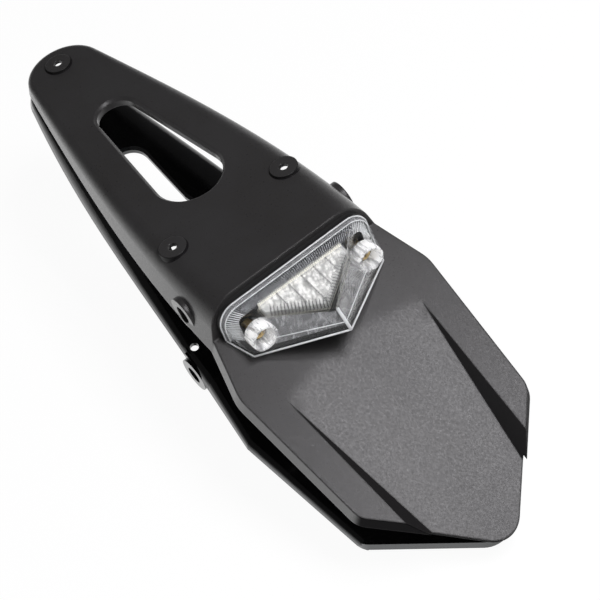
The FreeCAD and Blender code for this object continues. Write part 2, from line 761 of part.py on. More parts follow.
# Lens screws with cross recess, nuts behind the step
screws, nuts = [], []
for side, word in ((-1, "Left"), (1, "Right")):
    seat = Vector(size("towerFloorX"), side * size("towerHalf"), size("towerZ"))
    nutFace = Vector(stepFace - thick, seat.y, seat.z)
    head = cylinder("lampHead" + word, "Sizes.lampScrewHead", "Sizes.lampScrewHeadHigh", seat, rearward)
    shankLength = "Sizes.towerFloorX - Sizes.tongueEndX + Sizes.wallThick + Sizes.nutHigh"
    shank = cylinder("lampShank" + word, "Sizes.lampScrew", shankLength, seat, rearward * -1)
    blank = joined("Part::MultiFuse", "lampScrewBlank" + word, [head, shank])
    slots = []
    for turn in (0, 1):
        recess = doc.addObject("Part::Box", "lampRecess%s%d" % (word, turn))
        recess.setExpression("Length", "Sizes.lampScrewHeadHigh")
        recess.setExpression("Width", "Sizes.lampScrew" if turn else "Sizes.lampScrew / 4")
        recess.setExpression("Height", "Sizes.lampScrew / 4" if turn else "Sizes.lampScrew")
        wide = size("lampScrew") if turn else size("lampScrew") / 4
        high = size("lampScrew") / 4 if turn else size("lampScrew")
        recess.Placement.Base = seat + Vector(size("lampScrewHeadHigh") / 2, -wide / 2, -high / 2)
        slots.append(recess)
    cross = joined("Part::MultiFuse", "lampCross" + word, slots)
    screws.append(joined("Part::Cut", "lampScrewBody" + word, [blank, cross]))
    nut = doc.addObject("Part::Prism", "nutBlank" + word)
    nut.Polygon = 6
    nut.setExpression("Circumradius", "Sizes.nutAcross / sqrt(3)")
    nut.setExpression("Height", "Sizes.nutHigh")
    nut.Placement = FreeCAD.Placement(nutFace, FreeCAD.Rotation(Vector(0, 0, 1), rearward * -1))
    thread = cylinder("nutBore" + word, "Sizes.lampScrew + 2 * Sizes.threadGap", "Sizes.nutHigh", nutFace,
                      rearward * -1)
    nuts.append(joined("Part::Cut", "nutBody" + word, [nut, thread]))
nodes.append(group("lens_screws", screws))
nodes.append(group("lamp_nuts", nuts))

# Screws and washers under the lower flap
jointScrews, jointWashers = [], []
for side, word in ((-1, "Left"), (1, "Right")):
    under = jointFoot[side] - lowFlapUp * thick
    headTop = under - lowFlapUp * size("washerThick")
    washerBlank = cylinder("washerBlank" + word, "Sizes.washerOuter", "Sizes.washerThick", under,
                           lowFlapUp * -1)
    washerBore = cylinder("washerBore" + word, "Sizes.jointScrew + 2 * Sizes.threadGap", "Sizes.washerThick",
                          under, lowFlapUp * -1)
    jointWashers.append(joined("Part::Cut", "washerBody" + word, [washerBlank, washerBore]))
    head = cylinder("jointHead" + word, "Sizes.jointHead", "Sizes.jointHeadHigh", headTop, lowFlapUp * -1)
    shank = cylinder("jointShank" + word, "Sizes.jointScrew", "Sizes.jointScrewLength", headTop, lowFlapUp)
    socketTop = headTop - lowFlapUp * (size("jointHeadHigh") / 2)
    socket = doc.addObject("Part::Prism", "jointSocket" + word)
    socket.Polygon = 6
    socket.setExpression("Circumradius", "Sizes.jointScrew / 3")
    socket.setExpression("Height", "Sizes.jointHeadHigh")
    socket.Placement = FreeCAD.Placement(socketTop, FreeCAD.Rotation(Vector(0, 0, 1), lowFlapUp * -1))
    blank = joined("Part::MultiFuse", "jointBlank" + word, [head, shank])
    jointScrews.append(joined("Part::Cut", "jointBody" + word, [blank, socket]))
nodes.append(group("joint_screws", jointScrews))
nodes.append(group("joint_washers", jointWashers))

# Grommet through the step, gasket and lamp base
neckLength = "Sizes.wallThick + Sizes.gasketThick + Sizes.baseWall"
grommetBack = grommetSeat - rearward * thick
neck = cylinder("grommetNeck", "Sizes.grommetHole", neckLength, grommetBack, rearward)
lip = cylinder("grommetLipRing", "Sizes.grommetOuter", "Sizes.grommetLip", grommetBack, rearward * -1)
sleeve = joined("Part::MultiFuse", "grommetBlank", [neck, lip])
lead = cylinder("grommetLead", "Sizes.grommetBore", neckLength + " + Sizes.grommetLip",
                grommetBack - rearward * size("grommetLip"), rearward)
grommet = joined("Part::Cut", "wire_grommet", [sleeve, lead])
grommet.Label = "wire_grommet"
nodes.append(grommet)

doc.recompute()
for feature in doc.Objects:
    if "Invalid" in feature.State or "Error" in feature.State:
        raise RuntimeError("object in error: " + feature.Label)
os.makedirs("parts", exist_ok=True)
for node in nodes:
    if node.Shape.isNull() or not node.Shape.isValid():
        raise RuntimeError("shape not sound: " + node.Label)
    node.Shape.exportStep("parts/%s.step" % node.Label)
    print(node.Label, len(node.Shape.Solids), round(node.Shape.Volume, 1))
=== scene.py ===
import math
import random
import bpy
from mathutils import Matrix, Vector


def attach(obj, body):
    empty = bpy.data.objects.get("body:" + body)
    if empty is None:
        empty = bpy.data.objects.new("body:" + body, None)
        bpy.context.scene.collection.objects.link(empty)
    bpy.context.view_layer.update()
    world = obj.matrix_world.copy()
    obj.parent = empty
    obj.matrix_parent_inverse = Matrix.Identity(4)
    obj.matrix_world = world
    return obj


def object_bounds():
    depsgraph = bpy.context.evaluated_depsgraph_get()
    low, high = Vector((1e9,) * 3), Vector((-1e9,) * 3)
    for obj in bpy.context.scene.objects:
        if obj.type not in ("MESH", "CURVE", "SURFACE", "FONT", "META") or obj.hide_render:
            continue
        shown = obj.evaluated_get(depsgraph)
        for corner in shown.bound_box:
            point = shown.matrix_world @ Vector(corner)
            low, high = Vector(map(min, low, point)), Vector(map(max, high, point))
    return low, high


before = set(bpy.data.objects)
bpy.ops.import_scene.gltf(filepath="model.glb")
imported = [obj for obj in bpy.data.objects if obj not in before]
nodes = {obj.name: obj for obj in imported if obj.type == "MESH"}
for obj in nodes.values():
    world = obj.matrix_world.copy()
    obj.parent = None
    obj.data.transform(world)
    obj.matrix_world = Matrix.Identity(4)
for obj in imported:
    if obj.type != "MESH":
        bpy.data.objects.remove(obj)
cadBox = [list(corner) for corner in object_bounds()]
print("frame loaded:", len(nodes), "nodes")


class Wire:
    # one socket of a shader tree, with arithmetic
    def __init__(self, tree, socket):
        self.tree = tree
        self.socket = socket

    def math(self, operation, first, second=0.0):
        node = self.tree.nodes.new("ShaderNodeMath")
        node.operation = operation
        for place, value in enumerate((first, second)):
            if isinstance(value, Wire):
                self.tree.links.new(value.socket, node.inputs[place])
            else:
                node.inputs[place].default_value = value
        return Wire(self.tree, node.outputs[0])

    def __add__(self, other):
        return self.math("ADD", self, other)

    def __radd__(self, other):
        return self.math("ADD", other, self)

    def __sub__(self, other):
        return self.math("SUBTRACT", self, other)

    def __rsub__(self, other):
        return self.math("SUBTRACT", other, self)

    def __mul__(self, other):
        return self.math("MULTIPLY", self, other)

    def __rmul__(self, other):
        return self.math("MULTIPLY", other, self)

    def high(self, other):
        return self.math("MAXIMUM", self, other)

    def size(self):
        return self.math("ABSOLUTE", self)


class Paint:
    # one material, or the world, with its shader tree
    def __init__(self, name, world=False):
        self.material = (bpy.data.worlds if world else bpy.data.materials).new(name)
        self.material.use_nodes = True
        self.tree = self.material.node_tree
        self.shader = self.tree.nodes["Background" if world else "Principled BSDF"]

    def fill(self, socket, value):
        if isinstance(value, Wire):
            self.tree.links.new(value.socket, socket)
        elif socket.type == "RGBA":
            socket.default_value = (*value, 1.0)
        else:
            socket.default_value = value

    def node(self, kind, settings, inputs, output=0):
        made = self.tree.nodes.new(kind)
        for name, value in settings.items():
            setattr(made, name, value)
        for name, value in inputs.items():
            self.fill(made.inputs[name], value)
        return Wire(self.tree, made.outputs[output])

    def mix(self, factor, first, second):
        return self.node("ShaderNodeMix", {"data_type": "RGBA"}, {0: factor, 6: first, 7: second}, 2)

    def turn(self, factor, first, second):
        return self.node("ShaderNodeMix", {"data_type": "VECTOR"}, {0: factor, 4: first, 5: second}, 1)

    def step(self, value, low, high):
        return self.node("ShaderNodeMapRange", {"interpolation_type": "SMOOTHSTEP"},
                         {"Value": value, "From Min": low, "From Max": high})

    def place(self, space="Object"):
        return self.node("ShaderNodeTexCoord", {}, {}, space)

    def parts(self, vector):
        split = self.node("ShaderNodeSeparateXYZ", {}, {"Vector": vector}).socket.node
        return [Wire(self.tree, output) for output in split.outputs]

    def normals(self):
        return self.parts(self.node("ShaderNodeNewGeometry", {}, {}, "Normal"))

    def noise(self, scale, detail, rough, stretch=(1, 1, 1)):
        moved = self.node("ShaderNodeMapping", {}, {"Vector": self.place(), "Scale": stretch})
        return self.node("ShaderNodeTexNoise", {},
                         {"Vector": moved, "Scale": scale, "Detail": detail, "Roughness": rough})

    def cells(self, scale):
        return self.node("ShaderNodeTexVoronoi", {}, {"Vector": self.place(), "Scale": scale})

    def rays(self, first, *others):
        # 1 for the named kinds of rays
        seen = self.node("ShaderNodeLightPath", {}, {}, f"Is {first} Ray")
        for kind in others:
            seen = seen.high(self.node("ShaderNodeLightPath", {}, {}, f"Is {kind} Ray"))
        return seen

    def soft(self, radius):
        # normal that rounds the folds of a moulding
        return self.node("ShaderNodeBevel", {"samples": 6}, {"Radius": radius})

    def bump(self, height, strength, distance, normal=None):
        inputs = {"Height": height, "Strength": strength, "Distance": distance}
        if normal:
            inputs["Normal"] = normal
        return self.node("ShaderNodeBump", {}, inputs)

    def layer(self, factor, kind, inputs):
        # one more shader over what the output shows so far
        surface = next(node for node in self.tree.nodes if node.type.startswith("OUTPUT")).inputs["Surface"]
        under = Wire(self.tree, surface.links[0].from_socket)
        over = self.node(kind, {}, inputs)
        self.fill(surface, self.node("ShaderNodeMixShader", {}, {0: factor, 1: under, 2: over}))

    def set(self, inputs):
        for name, value in inputs.items():
            self.fill(self.shader.inputs[name], value)
        return self.material


def dress(node, material):
    slots = nodes[node].data.materials
    slots.clear()
    slots.append(material)


def ease(node, width, angle=34.0):
    # a small round on the sharp edges of a CAD piece
    bevel = nodes[node].modifiers.new("ease", "BEVEL")
    bevel.width = width
    bevel.segments = 2
    bevel.limit_method = "ANGLE"
    bevel.angle_limit = math.radians(angle)
    bevel.harden_normals = True
    bevel.use_clamp_overlap = True


# Upper shell, satin charcoal moulding with a fine grain and painted shade on its rear rim, creases and round
# its bosses, lengths in metres
# Here and below a noise is scale, detail, roughness and stretch, a step is its start and its full end,
# and a bump is strength and depth
upper = {
    "dark": (0.033, 0.0312, 0.0306), "light": (0.040, 0.0388, 0.0392), "cloudStep": (0.3, 0.7),
    "fleck": (0.052, 0.051, 0.054), "fleckShare": 0.35, "fleckStep": (0.35, 0.75),
    "cloud": (16.0, 4.0, 0.6), "grain": (2600.0, 2.0, 0.6), "mottle": (760.0, 2.0, 0.6),
    "scuff": (60.0, 5.0, 0.7, (0.25, 1, 1)), "scuffStep": (0.62, 0.78),
    "rough": 0.27, "cloudRough": 0.06, "grainRough": 0.05, "scuffRough": 0.05, "mottleRough": 0.28,
    "specular": 0.33, "coat": 0.6, "coatRough": 0.22,
    "bump": (0.3, 0.00016), "mottleBump": 0.45, "scuffBump": 0.3,
    "edge": 0.0014, "foldEdge": 0.012,  # shaded rounds, wide where the tongue turns into the flap
    "foldX": 0.0925, "foldSweep": 0.2316,
    "foldBefore": (-0.026, -0.004), "foldAfter": (0.012, 0.002), "foldSide": (0.052, 0.042),
    "lean": (0.4, 0.916),  # x and z of the direction that is up for the flap
    # The rim, crease and boss values below place painted shade; the last two lines give its colour and gloss
    "rimTilt": (0.55, 0.25), "rimFacing": (0.15, 0.5), "rimStart": (0.06, 0.09),
    "creaseTilt": (0.86, 0.74), "creaseLimit": (0.42, 0.52), "creaseStart": (0.10, 0.12),
    "creaseShadeShare": 0.62, "sideTilt": (0.55, 0.92),
    "bossHalf": 0.040, "bossFrontX": -0.194, "bossLevel": (-0.004, -0.001),
    # radii and share of the painted contact shadow round each boss
    "bossShadowOuter": (0.0093, 0.0089), "bossShadowInner": (0.0084, 0.0081), "bossShadowShare": 0.8,
    "paintedShade": (0.004, 0.0036, 0.0042), "paintedShadeLight": (0.006, 0.0053, 0.0062),
    "paintedShadeRough": 0.5, "paintedShadeGrainRough": 0.1, "paintedShadeSpecular": 0.03,
}
paint = Paint("shellMatte")
cloud, grain, mottle = (paint.noise(*upper[name]) for name in ("cloud", "grain", "mottle"))
scuff = paint.step(paint.noise(*upper["scuff"]), *upper["scuffStep"])
shade = paint.mix(paint.step(cloud, *upper["cloudStep"]), upper["dark"], upper["light"])
fleck = paint.step(grain, *upper["fleckStep"]) * upper["fleckShare"]
x, y, z = paint.parts(paint.place())
nx, ny, nz = paint.normals()
fold = x - upper["foldX"] - upper["foldSweep"] * y.size()
foldZone = (paint.step(fold, *upper["foldBefore"]) * paint.step(fold, *upper["foldAfter"])
            * paint.step(y.size(), *upper["foldSide"]))
leanX, leanZ = upper["lean"]
above = leanX * nx + leanZ * nz
behind = leanZ * nx - leanX * nz
# Painted shade on the rim faces that turn down and back, and on the crease walls
rearRimShade = (paint.step(above, *upper["rimTilt"]) * paint.step(behind, *upper["rimFacing"])
           * paint.step(x, *upper["rimStart"]))
creaseShade = (paint.step(above, *upper["creaseTilt"]) * paint.step(above, *upper["creaseLimit"])
          * paint.step(x, *upper["creaseStart"]))
sideWall = paint.step(ny.size(), *upper["sideTilt"])
aside = y.size() - upper["bossHalf"]
ahead = x - upper["bossFrontX"]
bossSpans = [x * x + aside * aside, ahead * ahead + y * y]  # squared distances from the boss axes


def nearBoss(outer, inner):
    rear, front = (paint.step(span, outer ** 2, inner ** 2) for span in bossSpans)
    return rear.high(front)


# Painted contact shadow: a dark ring round each boss, over its side wall and the shell just outside
bossShadowRing = nearBoss(*upper["bossShadowOuter"]) - nearBoss(*upper["bossShadowInner"])
# Where the painted shade goes: the rear rim, the creases and the rings round the bosses
paintedShade = rearRimShade.high(upper["creaseShadeShare"] * creaseShade)
paintedShade = paintedShade.high(upper["bossShadowShare"] * (bossShadowRing * paint.step(z, *upper["bossLevel"])))
uneven = upper["mottleRough"] * (mottle - 0.5)  # the noise is even about a half
roughness = (upper["rough"] + upper["cloudRough"] * cloud + upper["grainRough"] * grain
             - upper["scuffRough"] * scuff + uneven)
soft = paint.turn(foldZone, paint.soft(upper["edge"]), paint.soft(upper["foldEdge"]))
surface = paint.bump(grain + upper["mottleBump"] * mottle + upper["scuffBump"] * scuff, *upper["bump"], soft)
dress("upper_shell", paint.set({
    "Base Color": paint.mix(fleck, shade, upper["fleck"]),
    "Roughness": roughness,
    "Coat Weight": upper["coat"] * sideWall,
    "Coat Roughness": upper["coatRough"],
    "Specular IOR Level": upper["specular"],
    "Normal": surface,
}))
# Painted shade: a darker, duller layer over those places
paint.layer(paintedShade, "ShaderNodeBsdfPrincipled", {
    "Base Color": paint.mix(cloud, upper["paintedShade"], upper["paintedShadeLight"]),
    "Roughness": upper["paintedShadeRough"] + upper["paintedShadeGrainRough"] * grain,
    "Specular IOR Level": upper["paintedShadeSpecular"],
    "Normal": surface,
})

# Lower shell, gloss black moulding whose lip and side faces are painted paler, a painted highlight
lower = {
    # the lip colour is a painted highlight on the side faces
    "black": (0.0045, 0.0045, 0.005), "dusty": (0.014, 0.014, 0.015), "lip": (0.056, 0.063, 0.067),
    "dust": (34.0, 5.0, 0.65), "dustStep": (0.45, 0.8), "dustShare": 0.6, "ripple": (90.0, 1.0, 0.4),
    "rough": 0.13, "dustRough": 0.10, "specular": 0.34, "coat": 0.12, "coatRough": 0.05,
    "lipTilt": (0.65, 0.35), "lipFront": 0.4, "lipRise": (0.04, 0.08),
    "bump": (0.05, 0.0004), "ease": 0.0007,
}
paint = Paint("shellGloss")
dust = paint.step(paint.noise(*lower["dust"]), *lower["dustStep"])
ripple = paint.noise(*lower["ripple"])
x, y, z = paint.parts(paint.place())
nx, ny, nz = paint.normals()
lipRise = lower["lipFront"] + (1 - lower["lipFront"]) * paint.step(x, *lower["lipRise"])
# Painted highlight: the side faces are paler, less so towards the front
lip = paint.step(nz.size(), *lower["lipTilt"]) * lipRise
dusted = paint.mix(dust * lower["dustShare"], lower["black"], lower["dusty"])
dress("lower_shell", paint.set({
    "Base Color": paint.mix(lip, dusted, lower["lip"]),
    "Roughness": lower["rough"] + lower["dustRough"] * dust,
    "Specular IOR Level": lower["specular"],
    "Coat Weight": lower["coat"] + (1 - lower["coat"]) * lip,
    "Coat Roughness": lower["coatRough"],
    "Normal": paint.bump(ripple, *lower["bump"]),
}))
ease("lower_shell", lower["ease"])

# Lens, clear moulding
lens = {"tint": (0.97, 0.985, 0.99), "ior": 1.49, "haze": (120.0, 3.0, 0.6), "bump": (0.03, 0.0003),
        "rough": 0.03, "hazeRough": 0.03, "body": 0.32, "hazeBody": 0.06, "ease": 0.0006, "easeAngle": 30.0}
paint = Paint("lensClear")
haze = paint.noise(*lens["haze"])
dress("light_lens", paint.set({
    "Base Color": lens["tint"],
    "Roughness": lens["rough"] + lens["hazeRough"] * haze,
    "IOR": lens["ior"],
    "Transmission Weight": 1.0,
    "Alpha": lens["body"] + lens["hazeBody"] * haze,
    "Normal": paint.bump(haze, *lens["bump"]),
}))
ease("light_lens", lens["ease"], lens["easeAngle"])

# Lamp sizes that the reflector and the trim share, in millimetres and degrees
lampForm = {"frontX": 57.7, "topZ": -3.5, "footZ": -24.6, "half": 52.0, "corner": 12.0, "fall": 10.0,
            "tip": Vector((108.5, 0, -22.8)), "cornerPoint": Vector((75.7, 46, -29.7)),
            "shoulder": Vector((57.7, 47, -4.8)), "board": Vector((64.02, 0, -13.25))}
fall = math.radians(lampForm["fall"])

# Reflector, silvery with a cream front bar that has a painted glow, along the roof's fall
reflector = {"bar": (0.0019, 0.0022), "cream": (0.86, 0.84, 0.74), "barPaintedGlow": (1.0, 0.97, 0.86),
             "silver": (0.50, 0.50, 0.49), "shine": (0.78, 0.78, 0.76), "flake": 420.0, "glow": 0.3,
             "rough": 0.28, "flakeRough": 0.2, "bump": (0.15, 0.0003), "ease": 0.0003}
paint = Paint("reflectorSilver")
x, y, z = paint.parts(paint.place())
start = lampForm["board"] / 1000
run = (x - start.x) * math.cos(fall) - (z - start.z) * math.sin(fall)
behindBar = paint.step(run, *reflector["bar"])
flake = paint.cells(reflector["flake"])
silver = paint.mix(flake, reflector["silver"], reflector["shine"])
dress("led_reflector", paint.set({
    "Base Color": paint.mix(behindBar, reflector["cream"], silver),
    "Roughness": reflector["rough"] + reflector["flakeRough"] * flake,
    # Painted glow: the cream bar gives light, though it is no lamp
    "Emission Color": paint.mix(behindBar, reflector["barPaintedGlow"], (0.0, 0.0, 0.0)),
    "Emission Strength": reflector["glow"],
    "Normal": paint.bump(flake, *reflector["bump"]),
}))
ease("led_reflector", reflector["ease"])

# Small pieces of one colour each
black = {"cloud": (45.0, 4.0, 0.6), "grain": (3200.0, 2.0, 0.6), "fade": 1.8, "metal": 0.0,
         "cloudRough": 0.12, "grainRough": 0.0, "bump": (0.2, 0.0001)}
cream = {"cloud": (140.0, 3.0, 0.6), "grain": (140.0, 3.0, 0.6), "fade": 0.86, "metal": 0.0,
         "cloudRough": 0.15, "grainRough": 0.0, "bump": (0.08, 0.0002)}
metal = {"cloud": (420.0, 4.0, 0.6), "grain": (900.0, 3.0, 0.7, (1, 1, 0.08)), "fade": 0.7, "metal": 1.0,
         "rough": 0.22, "cloudRough": 0.2, "grainRough": 0.1, "bump": (0.1, 0.0001), "ease": 0.0002}
smallParts = {
    "lamp_base": {**black, "name": "baseBlack", "colour": (0.009, 0.009, 0.0095), "rough": 0.38,
                  "ease": 0.0004},
    "lamp_gasket": {**black, "name": "gasketRubber", "colour": (0.011, 0.011, 0.011), "rough": 0.75},
    "wire_grommet": {**black, "name": "grommetRubber", "colour": (0.011, 0.011, 0.011), "rough": 0.7},
    "led_board": {**cream, "name": "boardMask", "colour": (0.72, 0.70, 0.60), "rough": 0.5},
    "leds": {**cream, "name": "ledResin", "colour": (0.90, 0.86, 0.62), "rough": 0.18},
    "lens_screws": {**metal, "name": "screwBrass", "colour": (0.62, 0.47, 0.24)},
    "lamp_nuts": {**metal, "name": "nutZinc", "colour": (0.56, 0.56, 0.58)},
    "joint_screws": {**metal, "name": "screwZinc", "colour": (0.50, 0.50, 0.52)},
    "joint_washers": {**metal, "name": "washerZinc", "colour": (0.58, 0.58, 0.60)},
}
for piece, look in smallParts.items():
    paint = Paint(look["name"])
    cloud, grain = paint.noise(*look["cloud"]), paint.noise(*look["grain"])
    faded = tuple(part * look["fade"] for part in look["colour"])
    dress(piece, paint.set({
        "Base Color": paint.mix(cloud, look["colour"], faded),
        "Metallic": look["metal"],
        "Roughness": look["rough"] + look["cloudRough"] * cloud + look["grainRough"] * grain,
        "Normal": paint.bump(grain, *look["bump"]),
    }))
    if "ease" in look:
        ease(piece, look["ease"])
print("materials done")


class Form:
    # vertices and faces of one new piece, written in millimetres
    def __init__(self):
        self.points = []
        self.faces = []

    def add(self, points, faces):
        start = len(self.points)
        self.points += [Vector(point) for point in points]
        self.faces += [tuple(start + index for index in face) for face in faces]

    def rings(self, loops, closed):
        # skin over loops of equal length
        count = len(loops[0])
        points = [point for loop in loops for point in loop]
        faces = []
        for row in range(len(loops) if closed else len(loops) - 1):
            first = row * count
            second = (row + 1) % len(loops) * count
            for place in range(count):
                turn = (place + 1) % count
                faces.append((first + place, first + turn, second + turn, second + place))
        if not closed:
            faces.append(tuple(range(count))[::-1])
            faces.append(tuple((len(loops) - 1) * count + place for place in range(count)))
        self.add(points, faces)

    def sheet(self, lines, facets=False):
        # open skin over lines of equal length, in quads or in triangles
        count = len(lines[0])
        faces = []
        for first in (line * count + place for line in range(len(lines) - 1) for place in range(count - 1)):
            quad = (first, first + count, first + count + 1, first + 1)
            faces += [quad[:3], (quad[0], quad[2], quad[3])] if facets else [quad]
        self.add([point for line in lines for point in line], faces)

    def tube(self, path, radius, sides=8):
        path = [Vector(point) for point in path]
        side = None
        loops = []
        for place, point in enumerate(path):
            ahead = path[min(place + 1, len(path) - 1)] - path[max(place - 1, 0)]
            ahead.normalize()
            side = ahead.orthogonal() if side is None else side - ahead * side.dot(ahead)
            side.normalize()
            over = ahead.cross(side)
            turns = [2 * math.pi * step / sides for step in range(sides)]
            loops.append([point + radius * (math.cos(turn) * side + math.sin(turn) * over)
                          for turn in turns])
        self.rings(loops, False)

    def block(self, start, end, across, over):
        # bar between two points with the given half width and height
        loops = []
        for point in (Vector(start), Vector(end)):
            loops.append([point - across, point + across, point + across + over, point - across + over])
        self.rings(loops, False)

    def make(self, name, material, slot, smooth=True, thick=0.0):
        mesh = bpy.data.meshes.new(name)
        mesh.from_pydata([point / 1000 for point in self.points], [], self.faces)
        mesh.validate()
        piece = bpy.data.objects.new(name, mesh)
        bpy.context.scene.collection.objects.link(piece)
        piece.data.materials.append(material)
        for polygon in mesh.polygons:
            polygon.use_smooth = smooth and len(polygon.vertices) == 4
        if thick:
            wall = piece.modifiers.new("wall", "SOLIDIFY")
            wall.thickness = thick / 1000
            wall.offset = 0.0
        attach(piece, "root")


def meet(*planes):
    # point shared by three planes, each a normal and a point on it
    rows = Matrix([normal for normal, point in planes])
    return rows.inverted() @ Vector([normal.dot(point) for normal, point in planes])


def onSide(point, side):
    return Vector((point.x, side * point.y, point.z))


def rim(forward, inset, drop, steps=7):
    # outline of the lens front from its left foot over the top to its right foot
    half = lampForm["half"] - inset
    top = lampForm["topZ"] - drop
    corner = lampForm["corner"] - inset
    x = lampForm["frontX"] + forward
    path = [Vector((x, -half, lampForm["footZ"]))]
    for side in (-1, 1):
        turns = [math.pi / 2 * step / steps for step in range(steps + 1)]
        for turn in (turns if side < 0 else turns[::-1]):
            path.append(Vector((x, side * (half - corner + corner * math.cos(turn)),
                                top - corner + corner * math.sin(turn))))
    path.append(Vector((x, half, lampForm["footZ"])))
    return path


def trimPaint(look):
    # plastic whose colour, gloss, cover and painted glow follow one cloud
    paint = Paint(look["name"])
    cloud = paint.noise(*look["cloud"])
    inputs = {
        "Base Color": paint.mix(cloud, look["dark"], look["light"]),
        "Roughness": look["rough"] + look["cloudRough"] * cloud,
        "Normal": paint.bump(cloud, *look["bump"]),
    }
    if "cover" in look:
        inputs["Alpha"] = look["cover"] + look["cloudCover"] * cloud
    # a painted glow, for trims that are no lamp
    if "glow" in look:
        inputs["Emission Color"] = paint.mix(cloud, look["glowDark"], look["glowLight"])
        inputs["Emission Strength"] = look["glow"]
    return paint.set(inputs)


# Planes of the lens, its roof and the two slanted faces that meet in a ridge
tip, cornerPoint, shoulder = lampForm["tip"], lampForm["cornerPoint"], lampForm["shoulder"]
roofUp = Vector((math.sin(fall), 0, math.cos(fall)))
roofAlong = Vector((math.cos(fall), 0, -math.sin(fall)))
roof = (roofUp, Vector((lampForm["frontX"], 0, lampForm["topZ"])))
visorNormal = (cornerPoint - tip).cross(shoulder - tip).normalized()
visors = [(onSide(visorNormal, side), tip) for side in (-1, 1)]
apex = meet(roof, *visors)

# White beads on the lens edges, a painted highlight for the light these edges catch, with a painted glow
# Here and below a line round the rim is forward, inset, drop and, for the flutes, the steps of its corners
edges = {
    "outer": (0.5, 0.4, 0.4), "outerRadius": 0.5, "inner": (3.4, 1.6, 1.4), "innerRadius": 0.36,
    "ridgeRadius": 1.0, "lowerRadius": 0.55, "footRadius": 0.45, "foot": (1.0, 51.6, -0.4),
    "inlayRadius": 0.28, "inlayRise": 7.5, "inlayRidge": 0.36, "inlaySide": 0.3,
    "name": "lensEdge", "cloud": (260.0, 3.0, 0.6), "bump": (0.1, 0.0003), "rough": 0.16, "cloudRough": 0.12,
    "dark": (0.80, 0.82, 0.84), "light": (0.93, 0.94, 0.95), "cover": 0.62, "cloudCover": 0.3,
    # the white and the glow are a painted highlight
    "glow": 0.12, "glowDark": (0.8, 0.82, 0.84), "glowLight": (1.0, 1.0, 1.0),
}
beads = Form()
beads.tube(rim(*edges["outer"]), edges["outerRadius"])
beads.tube(rim(*edges["inner"]), edges["innerRadius"])
beads.tube([apex, tip], edges["ridgeRadius"])
forward, half, drop = edges["foot"]
for side in (-1, 1):
    corner = onSide(cornerPoint, side)
    beads.tube([tip, corner], edges["lowerRadius"])
    rise = edges["inlayRise"] * (onSide(shoulder, side) - corner).normalized()
    inlay = [tip.lerp(apex, edges["inlayRidge"]), corner.lerp(tip, edges["inlaySide"]) + rise]
    beads.tube(inlay, edges["inlayRadius"])
    foot = Vector((lampForm["frontX"] + forward, side * half, lampForm["footZ"] + drop))
    beads.tube([corner, foot], edges["footRadius"])
paintedHighlightWhite = trimPaint(edges)
beads.make("lensEdges", paintedHighlightWhite, "lens_clear")

# Pale band between the two lines of the rim
band = {"outer": (1.2, 0.7, 0.7), "inner": (3.2, 1.4, 1.3), "thick": 0.2,
        "name": "rimHaze", "cloud": (220.0, 3.0, 0.6), "bump": (0.1, 0.0003),
        "dark": (0.60, 0.61, 0.63), "light": (0.80, 0.81, 0.83),
        "rough": 0.3, "cloudRough": 0.1, "cover": 0.14, "cloudCover": 0.21}
strip = Form()
strip.sheet(list(zip(rim(*band["outer"]), rim(*band["inner"]))))
strip.make("rimBand", trimPaint(band), "lens_clear", thick=band["thick"])

# Flutes inside the lens rim, painted white at the ends as a highlight with a painted glow, and fine along
# the top
flutes = {"outer": (2.0, 2.6, 2.6, 12), "inner": (8.0, 8.6, 5.6, 12), "pitch": 1.4, "nudge": 0.002,
          "wide": 0.34, "high": 0.3, "topHalf": 42.0, "topLow": -12.0,
          "name": "fluteFine", "cloud": (300.0, 2.0, 0.6), "bump": (0.1, 0.0003),
          "dark": (0.50, 0.51, 0.54), "light": (0.68, 0.69, 0.72),
          "rough": 0.2, "cloudRough": 0.1, "cover": 0.3, "cloudCover": 0.2}
outer, inner = rim(*flutes["outer"]), rim(*flutes["inner"])


def lengths(path):
    return [(after - before).length for before, after in zip(path, path[1:])]


def along(path, share):
    # point at a share of the path's length
    steps = lengths(path)
    left = share * sum(steps)
    for place, length in enumerate(steps):
        if left <= length or place == len(steps) - 1:
            return path[place].lerp(path[place + 1], min(left / length, 1))
        left -= length


endRibs, topRibs = Form(), Form()
count = int(sum(lengths(outer)) / flutes["pitch"])
for place in range(count + 1):
    share = place / count
    start, end = along(outer, share), along(inner, share)
    run = along(outer, min(share + flutes["nudge"], 1)) - along(outer, max(share - flutes["nudge"], 0))
    across = run.normalized() * flutes["wide"]
    over = run.cross(end - start).normalized() * flutes["high"]
    over = over if over.x + over.z > 0 else -over
    ribs = topRibs if abs(start.y) < flutes["topHalf"] and start.z > flutes["topLow"] else endRibs
    ribs.block(start, end, across, over)
endRibs.make("lensEndFlutes", paintedHighlightWhite, "lens_clear")
topRibs.make("lensTopFlutes", trimPaint(flutes), "lens_clear")

